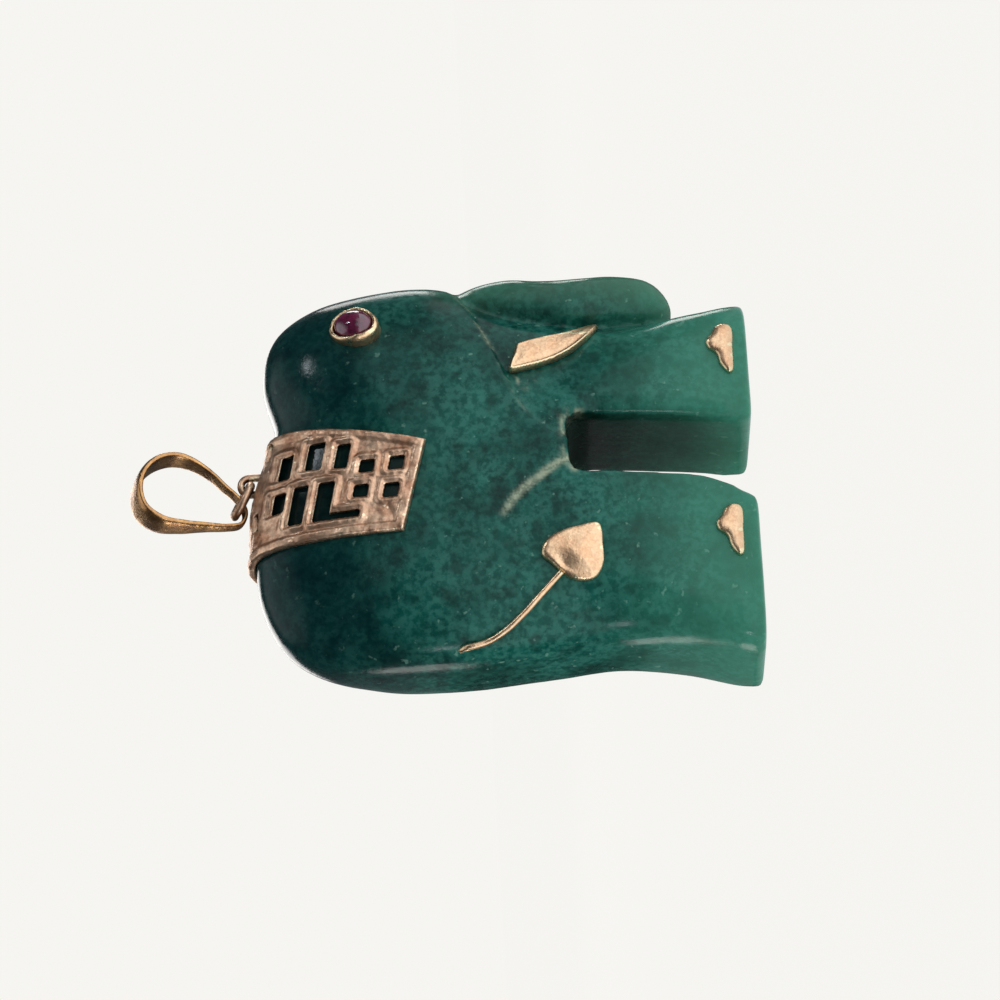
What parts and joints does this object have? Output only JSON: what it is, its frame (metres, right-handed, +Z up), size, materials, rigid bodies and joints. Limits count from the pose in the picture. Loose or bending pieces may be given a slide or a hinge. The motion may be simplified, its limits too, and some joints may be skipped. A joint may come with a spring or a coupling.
{
  "type": "carved jade elephant pendant",
  "caption": "Standing elephant carved from one piece of green jade, mounted as a pendant with a pierced gold saddle blanket, hinged ring and bail, gold trims and red cabochon eyes.",
  "frame": {"origin": "on the ground plane under the middle of the bounding box, with the elephant standing on its soles", "axes": "+Z up, +X toward the head, +Y toward the left flank; the tail lies on the right flank, at -Y"},
  "size_m": [0.0293, 0.013, 0.0427],
  "materials": {
    "jade": "polished",
    "gold": "gloss",
    "worn_gold": "satin",
    "ruby": "gloss"
  },
  "bodies": {
    "pendant": {"jade_body": "jade", "saddle": "worn_gold", "saddle_staple": "worn_gold", "eye_bezel_right": "gold", "eye_bezel_left": "gold", "eye_stone_right": "ruby", "eye_stone_left": "ruby", "tusk_right": "gold", "tusk_left": "gold", "toenail_fore_right": "gold", "toenail_fore_left": "gold", "toenail_hind_right": "gold", "toenail_hind_left": "gold", "tail_wire": "gold", "tail_tassel": "gold"},
    "ring": {"jump_ring": "worn_gold"},
    "bail": {"bail": "gold"}
  },
  "joints": [
    {"name": "ring_swing", "type": "hinge", "parent": "pendant", "child": "ring", "pos_m": [0.0011, 0, 0.03455], "axis": [0, 1, 0], "range_deg": [0, 60]},
    {"name": "bail_swing", "type": "hinge", "parent": "ring", "child": "bail", "pos_m": [-0.00104, 0, 0.03564], "axis": [0, 0.9659, 0.2588], "range_deg": [-50, 6]}
  ]
}
